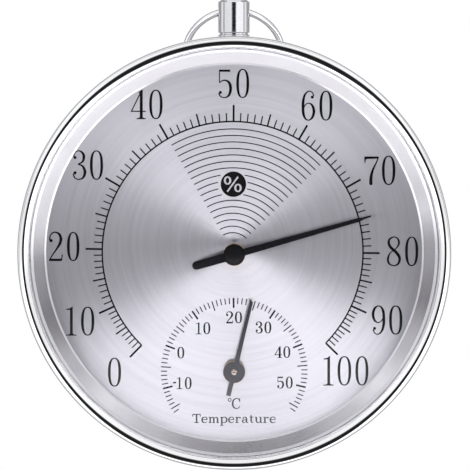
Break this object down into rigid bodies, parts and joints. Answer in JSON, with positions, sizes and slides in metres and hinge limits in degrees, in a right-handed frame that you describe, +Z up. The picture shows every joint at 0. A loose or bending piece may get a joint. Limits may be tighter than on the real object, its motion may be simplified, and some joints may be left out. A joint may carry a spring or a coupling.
{
  "type": "wall thermometer",
  "caption": "Round outdoor wall thermometer: polished steel case, brushed dial with a humidity scale over a small temperature scale, and a hanging ring on a knob.",
  "frame": {"origin": "centre of the flat back, on the axis of the round case", "axes": "+Y out of the back towards the wall, so the dial faces -Y; +Z up to the hanging knob; +X to the right as the dial is read"},
  "size_m": [0.132, 0.0352, 0.1437],
  "materials": {
    "polished_steel": "polished, mirror bright",
    "brushed_dial": "circular brushed, with a printed scale",
    "satin_aluminium": "satin",
    "clear_glass": "flat, clear",
    "black_rubber": "matt",
    "plain_steel": "zinc plated",
    "movement_brass": "turned, bare",
    "black_paint": "semi-matt",
    "grey_paint": "matt"
  },
  "bodies": {
    "case": {"rear_case": "polished_steel", "front_bezel": "polished_steel", "dial_plate": "brushed_dial", "reflector_ring": "satin_aluminium", "lens": "clear_glass", "lens_gasket": "black_rubber", "hanger_knob": "polished_steel", "hanger_saddle": "polished_steel", "hanger_washer": "plain_steel", "hanger_nut": "plain_steel", "humidity_bush": "movement_brass", "humidity_bracket": "movement_brass", "humidity_pivot_screw": "plain_steel", "temperature_bush": "movement_brass", "temperature_bracket": "movement_brass", "temperature_pivot_screw": "plain_steel"},
    "ring": {"hanging_ring": "polished_steel"},
    "humidity_adjuster_arm": {"humidity_adjuster": "plain_steel", "humidity_coil_pin": "movement_brass", "humidity_coil": "plain_steel"},
    "humidity_hand": {"humidity_arbor": "movement_brass", "humidity_collet": "movement_brass", "humidity_pointer": "black_paint", "humidity_pointer_cap": "black_paint"},
    "temperature_adjuster_arm": {"temperature_adjuster": "plain_steel", "temperature_coil_pin": "movement_brass", "temperature_coil": "plain_steel"},
    "temperature_hand": {"temperature_arbor": "movement_brass", "temperature_collet": "movement_brass", "temperature_pointer": "grey_paint"}
  },
  "joints": [
    {"name": "ring_swing", "type": "hinge", "parent": "case", "child": "ring", "pos_m": [0, -0.006, 0.0733], "axis": [1, 0, 0], "range_deg": [0, 264]},
    {"name": "humidity_adjustment", "type": "hinge", "parent": "case", "child": "humidity_adjuster_arm", "pos_m": [0, 0, -0.0007], "axis": [0, 1, 0], "range_deg": [-12, 12]},
    {"name": "humidity_reading", "type": "hinge", "parent": "humidity_adjuster_arm", "child": "humidity_hand", "pos_m": [0, 0, -0.0007], "axis": [0, 1, 0], "range_deg": [-210.3, 59.7], "stiffness_Nm_per_rad": 0.001},
    {"name": "temperature_adjustment", "type": "hinge", "parent": "case", "child": "temperature_adjuster_arm", "pos_m": [0, 0, -0.03652], "axis": [0, 1, 0], "range_deg": [-12, 12]},
    {"name": "temperature_reading", "type": "hinge", "parent": "temperature_adjuster_arm", "child": "temperature_hand", "pos_m": [0, 0, -0.03652], "axis": [0, 1, 0], "range_deg": [-139, 111.2], "stiffness_Nm_per_rad": 0.001}
  ]
}
